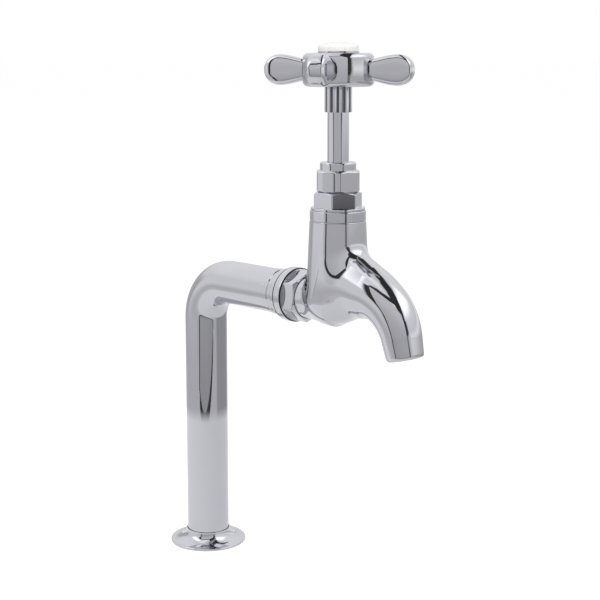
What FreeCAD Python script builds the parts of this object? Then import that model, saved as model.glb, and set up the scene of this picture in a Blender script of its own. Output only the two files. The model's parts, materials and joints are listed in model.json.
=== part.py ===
import FreeCAD, Part
import math
import os
from FreeCAD import Rotation, Vector

# A bib tap on a bent stand pipe, with a cross handle. Millimetres and degrees.
# The origin is the middle of the foot, on the deck. +X runs along the arm to the spout, +Z is up.
# The valve is closed, which is the rest position.

# Fits: a running fit turns or slides, a seat is pressed or brazed, a slip goes together by hand
running_play = 0.05
seat_play = 0.02
slip_play = 0.1
face_gap = 0.3
edge_break = 0.4

# Stand pipe
pipe_od = 22.0
pipe_wall = 1.0
arm_height = 143.3
bend_radius = 21.0
arm_length = 57.0

# Foot flange with its seal and grip ring
flange_od = 40.0
flange_rim = 1.3
flange_height = 7.0
flange_land = 1.3
flange_lip = 0.4
flange_edge = 0.4
seal_width = 2.8
seal_depth = 1.1
seal_inset = 1.4
grip_width = 1.0
grip_height = 1.4
grip_level = 2.4
grip_round = 0.3

# Brass insert in the foot of the pipe
foot_flange_depth = 1.0
foot_bush_length = 16.0
inlet_thread_d = 14.95
inlet_thread_depth = 12.0

# Union between the arm and the tap
spigot_wall = 1.66
tail_wall = 1.8
collar_width = 6.0
collar_proud = 0.35
collar_spigot = 10.0
collar_groove = 0.3
tail_flange_rim = 1.3
tail_flange_width = 2.0
inlet_thread_room = 0.88
union_washer_width = 1.5
nut_lead = 3.0
nut_lead_wall = 1.92
nut_ring_width = 5.6
nut_ring_wall = 2.92
nut_ring_round = 1.0
nut_hex_width = 7.4
nut_hex_wall = 0.62
nut_back = 4.0
nut_turn = -4.0

# Pipe threads, shown as rings
thread_d = 20.96
thread_pitch = 1.814
thread_depth = 0.9

# Tap body, along the arm and then up from the arm's axis
neck_length = 19.0
neck_step = 0.08
belly_drop = 10.4
belt_rise = 2.7
belt_d = 29.4
barrel_rise = 39.1
barrel_top_d = 26.7
collar_height = 5.0
body_collar_d = 26.5
body_groove = 0.35
chamber_d = 20.4
floor_rise = 8.3
bonnet_thread_length = 12.5
bonnet_thread_hole = 13.5

# Spout, whose centreline leaves the tap's axis, falls gently and then turns down
spout_rise = 12.0
spout_slope = 12.0
spout_run = 22.7
spout_bend_radius = 25.0
spout_mouth_slope = 76.0
spout_drop = 10.0
spout_d = 20.4
mouth_d = 17.2
mouth_round = 1.2
spout_bore = 12.6
hollow_overlap = 1.6
root_height = 36.0
root_width = 25.0
root_sink = 8.0

# Valve
seat_flange_d = 16.4
seat_flange = 1.0
seat_spigot_d = 13.2
seat_spigot = 1.6
seat_bore = 11.2
closed_gap = 0.15
tap_washer_d = 17.6
tap_washer_thickness = 4.0
plate_d = 16.8
plate_thickness = 2.5
plate_stem_d = 7.0
plate_stem_length = 11.0
stud_d = 4.0
washer_nut_flats = 7.0
washer_nut_height = 2.6
valve_lift = 5.25

# Bonnet, gland and their packings
bonnet_washer_width = 1.3
bonnet_washer_depth = 1.0
bonnet_flange_d = 25.6
bonnet_flange = 1.3
bonnet_flats = 20.35
bonnet_hex = 7.4
bonnet_turn = 0.0
gland_thread_d = 15.8
gland_thread_length = 7.0
gland_thread_pitch = 1.0
gland_thread_depth = 0.35
stuffing_d = 13.2
stuffing_depth = 5.0
stop_wall = 7.6
gland_washer_height = 1.0
packing_proud = 0.6
gland_flats = 20.0
gland_hex = 10.0
gland_turn = 17.0
gland_collar_d = 17.0
gland_collar = 3.8
gland_round = 0.8
hex_chamfer = 30.0

# Spindle
spindle_d = 10.1
spindle_thread_d = 12.0
spindle_thread_length = 19.0
spindle_thread_pitch = 2.0
spindle_thread_depth = 0.7
spindle_foot_d = 10.4
spindle_show = 23.1
stop_margin = 1.2
square_flats = 7.0
square_length = 8.4

# Cross handle
handle_turn = -62.7
arm_count = 4
sleeve_d = 12.9
sleeve_height = 11.8
sleeve_spigot_d = 11.6
sleeve_spigot = 2.0
flute_count = 12
flute_d = 2.6
flute_depth = 0.5
hub_height = 15.4
boss_width = 16.4
boss_reach = 14.5
hub_round = 4.0
bush_d = 14.0
bush_height = 8.6
arm_neck_d = 9.2
arm_spigot_d = 6.0
arm_spigot = 4.0
paddle_swell = 14.1
paddle_end = 7.4
paddle_height = 14.2
paddle_thickness = 9.1

# Handle screw
screw_d = 4.9
screw_length = 10.0
screw_head_d = 9.0
screw_head = 2.4
screw_slot = 1.2
screw_slot_depth = 1.2

# Ceramic button in its ring
ring_d = 19.4
ring_height = 0.7
ring_round = 0.3
ring_spigot_d = 16.0
ring_spigot = 2.2
button_d = 19.0
button_edge = 2.9
button_dome = 1.4
button_round = 1.0
button_spigot_d = 12.0
button_spigot = 1.8

# Worked out along the arm
tail_od = pipe_od - 2 * (pipe_wall + spigot_wall + 2 * seat_play)
tail_flange_d = tail_od + 2 * tail_flange_rim
waterway = tail_od - 2 * tail_wall
inlet_d = tail_flange_d + 2 * inlet_thread_room
nut_lead_d = inlet_d + 2 * nut_lead_wall
nut_ring_d = inlet_d + 2 * nut_ring_wall
nut_hex_flats = inlet_d + 2 * nut_hex_wall
neck_d = inlet_d - 2 * neck_step
collar_end = arm_length + collar_width
nut_start = collar_end + slip_play
ring_start = nut_start + nut_lead
hex_start = ring_start + nut_ring_width
nut_end = hex_start + nut_hex_width
tail_end = nut_start + nut_back + tail_flange_width
inlet_end = tail_end + union_washer_width
tap_x = nut_end + neck_length

# Worked out up the tap
barrel_top = arm_height + barrel_rise
body_top = barrel_top + collar_height
chamber_floor = arm_height + floor_rise
seat_face = chamber_floor + seat_flange
washer_bottom = seat_face + closed_gap
plate_bottom = washer_bottom + tap_washer_thickness
plate_top = plate_bottom + plate_thickness
spindle_bottom = plate_top + face_gap
bonnet_bottom = body_top - bonnet_thread_length
bonnet_hex_bottom = body_top + bonnet_flange
bonnet_hex_top = bonnet_hex_bottom + bonnet_hex
bonnet_top = bonnet_hex_top + gland_thread_length
stuffing_floor = bonnet_top - stuffing_depth
stop_face = stuffing_floor - stop_wall
packing_top = bonnet_top + packing_proud
gland_hex_top = bonnet_hex_top + gland_hex
gland_top = gland_hex_top + gland_collar
spindle_thread_top = stop_face - valve_lift - stop_margin
spindle_thread_bottom = spindle_thread_top - spindle_thread_length
sleeve_bottom = gland_top + spindle_show
hub_bottom = sleeve_bottom + sleeve_height
hub_top = hub_bottom + hub_height
bush_bottom = hub_bottom + sleeve_spigot
bush_top = bush_bottom + bush_height
square_top = bush_bottom + square_length
ring_top = hub_top + ring_height
paddle_wide = boss_reach + paddle_swell

up = Vector(0, 0, 1)
along_arm = Vector(1, 0, 0)
on_pipe = Vector(0, 0, 0)
on_arm = Vector(0, 0, arm_height)
on_tap = Vector(tap_x, 0, 0)


def corner(before, here, after, radius):
    """Start, middle and end of the arc that rounds a corner of an outline."""
    to_before = (before - here).normalize()
    to_after = (after - here).normalize()
    half = to_before.getAngle(to_after) / 2
    reach = radius / math.tan(half)
    middle_way = (to_before + to_after).normalize()
    centre = here + middle_way * (radius / math.sin(half))
    return here + to_before * reach, centre - middle_way * radius, here + to_after * reach


def rounded_outline(points):
    """Closed face in the XZ plane through points (radius, height, optional rounding)."""
    places = [Vector(p[0], 0, p[1]) for p in points]
    rounds = [p[2] if len(p) > 2 else 0 for p in points]
    edges = []
    ends = []
    for i, here in enumerate(places):
        if rounds[i] > 0:
            arc = corner(places[i - 1], here, places[(i + 1) % len(places)], rounds[i])
            ends.append((arc[0], arc[2], arc[1]))
        else:
            ends.append((here, here, None))
    for i, (start, end, middle) in enumerate(ends):
        if middle is not None:
            edges.append(Part.Arc(start, middle, end).toShape())
        following = ends[(i + 1) % len(ends)][0]
        if end.distanceToPoint(following) > 1e-6:
            edges.append(Part.LineSegment(end, following).toShape())
    return Part.Face(Part.Wire(edges))


def placed(shape, base, axis):
    """The shape with its Z axis laid along an axis through a base point."""
    shape.Placement = FreeCAD.Placement(base, Rotation(up, axis))
    return shape


def turned(points, base=on_pipe, axis=up):
    """Solid turned about an axis from its half section."""
    whole = rounded_outline(points).revolve(Vector(0, 0, 0), up, 360)
    return placed(whole, base, axis)


def rod(radius, low, high, base=on_pipe, axis=up):
    """Plain cylinder between two places along an axis."""
    return placed(Part.makeCylinder(radius, high - low, Vector(0, 0, low)), base, axis)


def hexagon(flats, low, high, turn, base=on_pipe, axis=up, bottom_chamfer=True):
    """Hexagon bar whose corners are turned down to the chamfer of a nut."""
    corner_r = flats / math.sqrt(3)
    around = [math.radians(turn + 60 * i) for i in range(7)]
    points = [Vector(corner_r * math.cos(a), corner_r * math.sin(a), low) for a in around]
    bar = Part.Face(Part.makePolygon(points)).extrude(Vector(0, 0, high - low))
    inner_r = flats / 2 - edge_break
    drop = (corner_r - inner_r) * math.tan(math.radians(hex_chamfer))
    foot = [(inner_r, low), (corner_r, low + drop)] if bottom_chamfer else [(corner_r, low)]
    cone = [(0, low)] + foot + [(corner_r, high - drop), (inner_r, high), (0, high)]
    return placed(bar.common(turned(cone)), base, axis)


def thread_rings(radius, low, high, pitch, depth):
    """Points of a threaded outline, from low to high: a row of even V grooves."""
    count = max(1, int((high - low) / pitch))
    step = (high - low) / count
    points = [(radius, low)]
    for i in range(count):
        at = low + step * i
        points += [(radius, at + step * 0.1), (radius - depth, at + step * 0.5), (radius, at + step * 0.9)]
    return points + [(radius, high)]


# Foot and stand pipe

def make_foot_flange():
    """Trumpet-shaped cover plate with a groove for the seal below and one for the grip ring inside."""
    bore = pipe_od / 2 + slip_play
    rim = flange_od / 2
    cove_start = Vector(rim - flange_land, 0, flange_rim)
    cove_end = Vector(bore + flange_lip, 0, flange_height)
    bend = math.cos(math.radians(45))
    cove_middle = Vector(cove_start.x, 0, flange_height)
    cove_middle -= Vector((cove_start.x - cove_end.x) * bend, 0, (flange_height - flange_rim) * bend)
    edge_start = Vector(rim, 0, flange_rim - flange_edge)
    edge_end = Vector(rim - flange_edge, 0, flange_rim)
    edge_middle = Vector(edge_end.x + flange_edge * bend, 0, edge_start.z + flange_edge * bend)
    corners = [cove_end, Vector(bore, 0, flange_height), Vector(bore, 0, 0), Vector(rim, 0, 0), edge_start]
    edges = Part.makePolygon(corners).Edges
    edges.append(Part.Arc(edge_start, edge_middle, edge_end).toShape())
    edges.append(Part.LineSegment(edge_end, cove_start).toShape())
    edges.append(Part.Arc(cove_start, cove_middle, cove_end).toShape())
    plate = Part.Face(Part.Wire(edges)).revolve(Vector(0, 0, 0), up, 360)
    inner = bore + seal_inset
    groove = rod(inner + seal_width, 0, seal_depth).cut(rod(inner, 0, seal_depth))
    grip = rod(pipe_od / 2 + grip_width, grip_level, grip_level + grip_height)
    return plate.cut(groove).cut(grip)


def make_foot_seal():
    """Rubber ring in the underside of the flange."""
    inner = pipe_od / 2 + slip_play + seal_inset + seat_play
    outer = inner + seal_width - 2 * seat_play
    top = seal_depth - seat_play
    return turned([(inner, 0), (outer, 0), (outer, top), (inner, top)])


def make_flange_grip_ring():
    """Rubber ring that holds the flange on the pipe."""
    outer = pipe_od / 2 + grip_width
    low = grip_level + seat_play
    high = grip_level + grip_height - seat_play
    section = [(pipe_od / 2, low, grip_round), (outer, low, grip_round)]
    return turned(section + [(outer, high, grip_round), (pipe_od / 2, high, grip_round)])


def make_foot_bush():
    """Flanged brass insert with the inlet thread, brazed into the foot of the pipe."""
    bore = waterway / 2
    thread = inlet_thread_d / 2
    body = pipe_od / 2 - pipe_wall - seat_play
    section = [(thread, 0), (pipe_od / 2, 0), (pipe_od / 2, foot_flange_depth), (body, foot_flange_depth)]
    section += [(body, foot_bush_length), (bore, foot_bush_length), (bore, inlet_thread_depth)]
    return turned(section + [(thread, inlet_thread_depth)])


def make_stand_pipe():
    """One tube: upright, a tight quarter bend and the arm."""
    outer = pipe_od / 2
    inner = outer - pipe_wall
    bend_start = Vector(0, 0, arm_height - bend_radius)
    bend_centre = Vector(bend_radius, 0, arm_height - bend_radius)
    upright = rod(outer, foot_flange_depth, bend_start.z).cut(rod(inner, foot_flange_depth, bend_start.z))
    arm = rod(outer, bend_radius, arm_length, on_arm, along_arm)
    arm = arm.cut(rod(inner, bend_radius, arm_length, on_arm, along_arm))
    end = [Part.Wire(Part.Circle(bend_start, up, r).toShape()) for r in (outer, inner)]
    bend = Part.Face(end).revolve(bend_centre, Vector(0, 1, 0), 90)
    return upright.fuse([bend, arm]).removeSplitter()


# Union

def make_pipe_collar():
    """Sleeve on the end of the arm, with a spigot inside the pipe."""
    outer = pipe_od / 2 + collar_proud
    spigot = pipe_od / 2 - pipe_wall - seat_play
    bore = tail_od / 2 + seat_play
    middle = arm_length + collar_width / 2
    section = [(bore, arm_length - collar_spigot), (spigot, arm_length - collar_spigot)]
    section += [(spigot, arm_length), (outer, arm_length, collar_groove)]
    section += [(outer, middle - 2 * collar_groove), (outer - collar_groove, middle)]
    section.append((outer, middle + 2 * collar_groove))
    return turned(section + [(outer, collar_end, collar_groove), (bore, collar_end)], on_arm, along_arm)


def make_union_tail():
    """Brass tail, brazed in the collar, with the flange that the nut pulls on."""
    bore = waterway / 2
    start = arm_length - collar_spigot
    flange = tail_end - tail_flange_width
    section = [(bore, start), (tail_od / 2, start), (tail_od / 2, flange), (tail_flange_d / 2, flange)]
    return turned(section + [(tail_flange_d / 2, tail_end), (bore, tail_end)], on_arm, along_arm)


def make_union_washer():
    """Fibre washer between the tail and the inlet of the tap."""
    section = [(waterway / 2, tail_end), (tail_flange_d / 2, tail_end)]
    return turned(section + [(tail_flange_d / 2, inlet_end), (waterway / 2, inlet_end)], on_arm, along_arm)


def make_union_nut():
    """Captive nut: a plain lead ring, a round collar and a hexagon."""
    lead = nut_lead_d / 2
    ring = nut_ring_d / 2
    section = [(0, nut_start), (lead, nut_start, nut_ring_round), (lead, ring_start)]
    section += [(ring, ring_start, nut_ring_round), (ring, hex_start, nut_ring_round), (0, hex_start)]
    blank = turned(section, on_arm, along_arm)
    blank = blank.fuse(hexagon(nut_hex_flats, hex_start, nut_end, nut_turn, on_arm, along_arm, False))
    back = nut_start + nut_back
    tail_hole = rod(tail_od / 2 + slip_play, nut_start, back, on_arm, along_arm)
    thread_hole = rod(inlet_d / 2 + running_play, back, nut_end, on_arm, along_arm)
    return blank.cut(tail_hole).cut(thread_hole)


# Tap body

def spout_line():
    """Places and directions of the spout's centreline where its straight runs and its bend meet."""
    slope = math.radians(spout_slope)
    mouth = math.radians(spout_mouth_slope)
    first = Vector(math.cos(slope), 0, -math.sin(slope))
    last = Vector(math.cos(mouth), 0, -math.sin(mouth))
    root = Vector(tap_x, 0, arm_height + spout_rise)
    bend_start = root + first * spout_run
    centre = bend_start + Vector(-math.sin(slope), 0, -math.cos(slope)) * spout_bend_radius
    bend_end = centre + Vector(math.sin(mouth), 0, math.cos(mouth)) * spout_bend_radius
    return root, first, bend_start, centre, bend_end, last


def spout_place(distance):
    """Place and direction on the spout's centreline, a distance from the tap's axis."""
    root, first, bend_start, centre, bend_end, last = spout_line()
    turn = math.radians(spout_mouth_slope - spout_slope)
    bend_length = spout_bend_radius * turn
    if distance <= spout_run:
        return root + first * distance, first
    if distance >= spout_run + bend_length:
        return bend_end + last * (distance - spout_run - bend_length), last
    angle = math.radians(spout_slope) + (distance - spout_run) / spout_bend_radius
    place = centre + Vector(math.sin(angle), 0, math.cos(angle)) * spout_bend_radius
    return place, Vector(math.cos(angle), 0, -math.sin(angle))


def oval(place, direction, half_width, half_height):
    """Closed oval wire square to a direction in the XZ plane."""
    rise = Vector(-direction.z, 0, direction.x)
    angles = [2 * math.pi * i / 16 for i in range(16)]
    side = Vector(0, half_width, 0)
    points = [place + side * math.sin(a) + rise * (half_height * math.cos(a)) for a in angles]
    curve = Part.BSplineCurve()
    curve.interpolate(Points=points, PeriodicFlag=True)
    return Part.Wire(curve.toShape())


def spout_length():
    """Length of the spout's centreline from the tap's axis to its mouth."""
    turn = math.radians(spout_mouth_slope - spout_slope)
    return spout_run + spout_bend_radius * turn + spout_drop


def make_spout_outside():
    """Spout that flares from its bend into the barrel and tapers to a rounded mouth."""
    whole = spout_length()
    root_start = belt_d / 2 - root_sink
    sections = []
    for share in (0, 0.25, 0.5, 0.75, 1):
        distance = root_start + (spout_run - root_start) * share
        flare = (1 - share) ** 2
        half_width = spout_d / 2 + (root_width - spout_d) / 2 * flare
        half_height = spout_d / 2 + (root_height - spout_d) / 2 * flare
        sections.append((distance, half_width, half_height))
    for share in (0.25, 0.5, 0.75, 1):
        distance = spout_run + (whole - spout_run) * share
        half = spout_d / 2 + (mouth_d - spout_d) / 2 * share**1.5
        sections.append((distance, half, half))
    wires = [oval(*spout_place(d), w, h) for d, w, h in sections]
    spout = Part.makeLoft(wires, True, False)
    place, direction = spout_place(whole)
    mouth = [edge for edge in spout.Edges if edge.CenterOfMass.distanceToPoint(place) < mouth_round]
    return spout.makeFillet(mouth_round, mouth)


def make_barrel_outside():
    """Upright barrel with a rounded belly, a slight taper and a grooved collar at its top."""
    belt = arm_height + belt_rise
    bottom = arm_height - belly_drop
    wide = belt_d / 2
    angles = [math.pi / 12 * i for i in range(7)]
    places = [Vector(wide * math.sin(a), 0, belt - (belt - bottom) * math.cos(a)) for a in angles]
    belly = Part.BSplineCurve()
    belly.interpolate(Points=places, InitialTangent=along_arm, FinalTangent=up)
    top = barrel_top_d / 2
    collar = body_collar_d / 2
    groove = barrel_top + body_groove
    edge = body_top - body_groove
    rises = [(wide, belt), (top, barrel_top - body_groove), (top - body_groove, barrel_top)]
    rises += [(collar, groove), (collar, edge), (collar - body_groove, body_top), (0, body_top)]
    sides = Part.makePolygon([Vector(r, 0, z) for r, z in rises] + [Vector(0, 0, bottom)])
    whole = Part.Face(Part.Wire([belly.toShape()] + sides.Edges)).revolve(Vector(0, 0, 0), up, 360)
    return placed(whole, on_tap, up)


def make_inlet_outside():
    """Threaded inlet and neck, from the union to the tap's axis."""
    rings = thread_rings(inlet_d / 2, inlet_end, nut_end - thread_pitch, thread_pitch, thread_depth)
    neck = neck_d / 2
    section = [(0, inlet_end)] + rings + [(neck, nut_end - thread_pitch), (neck, tap_x), (0, tap_x)]
    return turned(section, on_arm, along_arm)


def make_spout_hollow():
    """Round way through the spout, from the chamber to the mouth."""
    radius = spout_bore / 2
    root, first, bend_start, centre, bend_end, last = spout_line()
    start = chamber_d / 2 - hollow_overlap
    straight = rod(radius, start, spout_run, root, first)
    circle = Part.Face(Part.Wire(Part.Circle(bend_start, first, radius).toShape()))
    bend = circle.revolve(centre, Vector(0, 1, 0), spout_mouth_slope - spout_slope)
    return straight, bend, rod(radius, 0, spout_drop, bend_end, last)


def make_tap_body():
    """Casting: inlet, barrel with its seat web, and spout."""
    body = make_barrel_outside().fuse([make_inlet_outside(), make_spout_outside()])
    hole = seat_spigot_d / 2
    inlet = rod(waterway / 2, inlet_end, tap_x + hole, on_arm, along_arm)
    up_hole = rod(hole, arm_height, chamber_floor, on_tap)
    chamber = rod(chamber_d / 2, chamber_floor, body_top, on_tap)
    thread = rod(thread_d / 2 + seat_play, body_top - bonnet_thread_hole, body_top, on_tap)
    washer_r = thread_d / 2 + seat_play + bonnet_washer_width
    washer = rod(washer_r, body_top - bonnet_washer_depth, body_top, on_tap)
    hollows = [inlet, up_hole, chamber, thread, washer]
    for hollow in hollows + list(make_spout_hollow()):
        body = body.cut(hollow)
    return body.removeSplitter()


# Valve

def make_valve_seat():
    """Brass seat ring pressed into the web."""
    hole = seat_bore / 2
    spigot = seat_spigot_d / 2 - seat_play
    section = [(hole, chamber_floor - seat_spigot), (spigot, chamber_floor - seat_spigot)]
    section += [(spigot, chamber_floor), (seat_flange_d / 2, chamber_floor)]
    section += [(seat_flange_d / 2, seat_face, edge_break)]
    return turned(section + [(hole, seat_face)], on_tap)


def make_tap_washer():
    """Rubber disc that closes on the seat."""
    hole = stud_d / 2 + seat_play
    outer = tap_washer_d / 2
    section = [(hole, washer_bottom), (outer, washer_bottom, edge_break), (outer, plate_bottom, edge_break)]
    return turned(section + [(hole, plate_bottom)], on_tap)


def make_jumper():
    """Valve plate with a stud below for the disc and a stem above that slides in the spindle."""
    stud = washer_bottom - washer_nut_height
    stem = plate_top + plate_stem_length
    section = [(0, stud), (stud_d / 2, stud), (stud_d / 2, plate_bottom), (plate_d / 2, plate_bottom)]
    section += [(plate_d / 2, plate_top, edge_break), (plate_stem_d / 2, plate_top)]
    section += [(plate_stem_d / 2, stem, edge_break)]
    return turned(section + [(0, stem)], on_tap)


def make_washer_nut():
    """Small nut that holds the rubber disc on its stud."""
    low = washer_bottom - washer_nut_height
    blank = hexagon(washer_nut_flats, low, washer_bottom, 0, on_tap)
    return blank.cut(rod(stud_d / 2 + seat_play, low, washer_bottom, on_tap))


# Bonnet and gland

def make_bonnet_washer():
    """Fibre ring sunk in the top of the body, under the bonnet's flange."""
    inner = thread_d / 2 + seat_play
    outer = inner + bonnet_washer_width - seat_play
    low = body_top - bonnet_washer_depth
    return turned([(inner, low), (outer, low), (outer, body_top), (inner, body_top)], on_tap)


def make_bonnet():
    """Headpart with its body thread, flange, hexagon, stuffing box and inside thread for the spindle."""
    rings = thread_rings(thread_d / 2, bonnet_bottom, body_top, thread_pitch, thread_depth)
    top_r = gland_thread_d / 2
    upper = thread_rings(top_r, bonnet_hex_top, bonnet_top, gland_thread_pitch, gland_thread_depth)
    section = [(0, bonnet_bottom)] + rings + [(bonnet_flange_d / 2, body_top)]
    section += [(bonnet_flange_d / 2, bonnet_hex_bottom, edge_break), (top_r, bonnet_hex_bottom)]
    blank = turned(section + upper + [(0, bonnet_top)], on_tap)
    bar = hexagon(bonnet_flats, bonnet_hex_bottom, bonnet_hex_top, bonnet_turn, on_tap, up, False)
    blank = blank.fuse(bar)
    thread = rod(spindle_thread_d / 2 + running_play, bonnet_bottom, stop_face, on_tap)
    stem = rod(spindle_d / 2 + running_play, stop_face, stuffing_floor, on_tap)
    stuffing = rod(stuffing_d / 2, stuffing_floor, bonnet_top, on_tap)
    return blank.cut(thread).cut(stem).cut(stuffing)


def make_gland_washer():
    """Brass ring at the bottom of the stuffing box."""
    inner = spindle_d / 2 + running_play
    outer = stuffing_d / 2 - seat_play
    top = stuffing_floor + gland_washer_height
    return turned([(inner, stuffing_floor), (outer, stuffing_floor), (outer, top), (inner, top)], on_tap)


def make_gland_packing():
    """Packing ring round the spindle, pressed by the gland nut."""
    inner = spindle_d / 2 + running_play
    outer = stuffing_d / 2 - seat_play
    low = stuffing_floor + gland_washer_height
    return turned([(inner, low), (outer, low), (outer, packing_top), (inner, packing_top)], on_tap)


def make_gland_nut():
    """Upper hexagon with a round collar, through which the spindle passes."""
    collar = gland_collar_d / 2
    blank = hexagon(gland_flats, bonnet_hex_top, gland_hex_top, gland_turn, on_tap)
    section = [(0, gland_hex_top), (collar, gland_hex_top), (collar, gland_top, gland_round)]
    blank = blank.fuse(turned(section + [(0, gland_top)], on_tap))
    thread = rod(gland_thread_d / 2 + seat_play, bonnet_hex_top, packing_top, on_tap)
    return blank.cut(thread).cut(rod(spindle_d / 2 + running_play, packing_top, gland_top, on_tap))


# Spindle and cross handle

def make_spindle():
    """Stem with its lifting thread, the hole for the jumper's stem and a square end for the handle."""
    shaft = spindle_d / 2
    thread = spindle_thread_d / 2
    low = spindle_thread_bottom
    rings = thread_rings(thread, low, spindle_thread_top, spindle_thread_pitch, spindle_thread_depth)
    foot = spindle_foot_d / 2
    section = [(0, spindle_bottom), (foot, spindle_bottom, edge_break), (foot, low)]
    section += rings + [(shaft, spindle_thread_top), (shaft, bush_bottom), (0, bush_bottom)]
    stem = turned(section, on_tap)
    half = square_flats / 2
    turn = Rotation(up, handle_turn)
    square = Part.makeBox(square_flats, square_flats, square_length, Vector(-half, -half, bush_bottom))
    square = square.common(rod(shaft, bush_bottom, square_top))
    square.Placement = FreeCAD.Placement(on_tap, turn)
    stem_top = plate_top + plate_stem_length + face_gap
    jumper_hole = rod(plate_stem_d / 2 + running_play, spindle_bottom, stem_top, on_tap)
    screw_hole = rod(screw_d / 2 + seat_play, bush_top - screw_length - face_gap, square_top, on_tap)
    return stem.fuse(square).cut(jumper_hole).cut(screw_hole)


def make_handle_sleeve():
    """Fluted shank under the hub."""
    outer = sleeve_d / 2
    bore = spindle_d / 2 + seat_play
    spigot = sleeve_spigot_d / 2
    section = [(bore, sleeve_bottom), (outer, sleeve_bottom, edge_break), (outer, hub_bottom)]
    section.append((spigot, hub_bottom))
    shank = turned(section + [(spigot, bush_bottom), (bore, bush_bottom)])
    reach = outer + flute_d / 2 - flute_depth
    for i in range(flute_count):
        angle = math.radians((i + 0.5) * 360 / flute_count)
        at = Vector(reach * math.cos(angle), reach * math.sin(angle), 0)
        shank = shank.cut(rod(flute_d / 2, sleeve_bottom, hub_bottom, at))
    shank.Placement = FreeCAD.Placement(on_tap, Rotation(up, handle_turn))
    return shank


def make_handle_hub():
    """Four-way boss: two crossed bars with rounded edges, bored for the bush, the arms and the ring."""
    half = boss_width / 2
    bar = Part.makeBox(2 * boss_reach, boss_width, hub_height, Vector(-boss_reach, -half, hub_bottom))
    bar = bar.makeFillet(hub_round, bar.Edges)
    other = bar.copy()
    other.rotate(Vector(0, 0, 0), up, 90)
    hub = bar.fuse(other)
    hub = hub.cut(rod(sleeve_spigot_d / 2 + seat_play, hub_bottom, bush_bottom))
    hub = hub.cut(rod(bush_d / 2 + seat_play, bush_bottom, hub_top))
    hub = hub.cut(rod(ring_spigot_d / 2 + seat_play, hub_top - ring_spigot, hub_top))
    middle = Vector(0, 0, hub_bottom + hub_height / 2)
    for i in range(arm_count):
        angle = math.radians(360 / arm_count * i)
        way = Vector(math.cos(angle), math.sin(angle), 0)
        hole = rod(arm_spigot_d / 2 + seat_play, boss_reach - arm_spigot, boss_reach, middle, way)
        hub = hub.cut(hole)
    hub.Placement = FreeCAD.Placement(on_tap, Rotation(up, handle_turn))
    return hub


def make_handle_bush():
    """Brass bush with a square hole that carries the hub on the spindle."""
    half = square_flats / 2 + seat_play
    hole = Part.makeBox(2 * half, 2 * half, bush_height, Vector(-half, -half, bush_bottom))
    hole = hole.common(rod(spindle_d / 2 + seat_play, bush_bottom, bush_top))
    bush = rod(bush_d / 2, bush_bottom, bush_top).cut(hole)
    bush.Placement = FreeCAD.Placement(on_tap, Rotation(up, handle_turn))
    return bush


def paddle_half(distance, widest):
    """Half size of an arm at a distance from the axis: it swells, then closes as a quarter oval."""
    neck = arm_neck_d / 2
    if distance <= paddle_wide:
        share = (distance - boss_reach) / paddle_swell
        return neck + (widest - neck) * share * share * (3 - 2 * share)
    share = (distance - paddle_wide) / paddle_end
    return widest * math.sqrt(1 - share * share)


def make_handle_arm(index):
    """One arm: a spigot in the hub, a neck and a flat teardrop paddle."""
    middle = hub_bottom + hub_height / 2
    swell = [boss_reach + paddle_swell * s for s in (0, 0.2, 0.4, 0.6, 0.8, 1)]
    end = [paddle_wide + paddle_end * s for s in (0.3, 0.6, 0.8, 0.93, 0.985, 0.999)]
    wires = []
    for distance in swell + end:
        wide = paddle_half(distance, paddle_thickness / 2)
        high = paddle_half(distance, paddle_height / 2)
        wires.append(oval(Vector(distance, 0, middle), along_arm, wide, high))
    spigot = rod(arm_spigot_d / 2, boss_reach - arm_spigot, boss_reach, Vector(0, 0, middle), along_arm)
    arm = Part.makeLoft(wires, True, False).fuse(spigot)
    arm.rotate(Vector(0, 0, 0), up, handle_turn + 360 / arm_count * index)
    arm.translate(on_tap)
    return arm


def make_handle_screw():
    """Slotted screw that holds the handle down on the spindle."""
    tip = bush_top - screw_length
    top = bush_top + screw_head
    section = [(0, tip), (screw_d / 2, tip, edge_break), (screw_d / 2, bush_top)]
    section += [(screw_head_d / 2, bush_top), (screw_head_d / 2, top, edge_break), (0, top)]
    slot_corner = Vector(-screw_head_d / 2, -screw_slot / 2, top - screw_slot_depth)
    slot = Part.makeBox(screw_head_d, screw_slot, screw_slot_depth, slot_corner)
    slot.translate(on_tap)
    return turned(section, on_tap).cut(slot)


def make_index_ring():
    """Chromed ring in the top of the hub, which carries the button."""
    outer = ring_d / 2
    spigot = ring_spigot_d / 2
    hole = button_spigot_d / 2 + seat_play
    low = hub_top - ring_spigot + slip_play
    section = [(hole, low), (spigot, low), (spigot, hub_top), (outer, hub_top, ring_round)]
    return turned(section + [(outer, ring_top, ring_round), (hole, ring_top)], on_tap)


def make_index_button():
    """White ceramic button with a low dome and a spigot in the ring."""
    outer = button_d / 2
    edge = ring_top + button_edge
    rise = button_dome
    ball = (outer**2 + rise**2) / (2 * rise)
    dome = rod(outer, ring_top, edge + rise).common(Part.makeSphere(ball, Vector(0, 0, edge + rise - ball)))
    boxes = [(arc, arc.BoundBox) for arc in dome.Edges]
    lip = [arc for arc, box in boxes if box.ZMin > ring_top and box.ZLength < button_dome / 2]
    dome = dome.makeFillet(button_round, lip)
    spigot = rod(button_spigot_d / 2, ring_top - button_spigot, ring_top)
    whole = dome.fuse(spigot)
    whole.translate(on_tap)
    return whole


# Write one file for each piece

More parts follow.
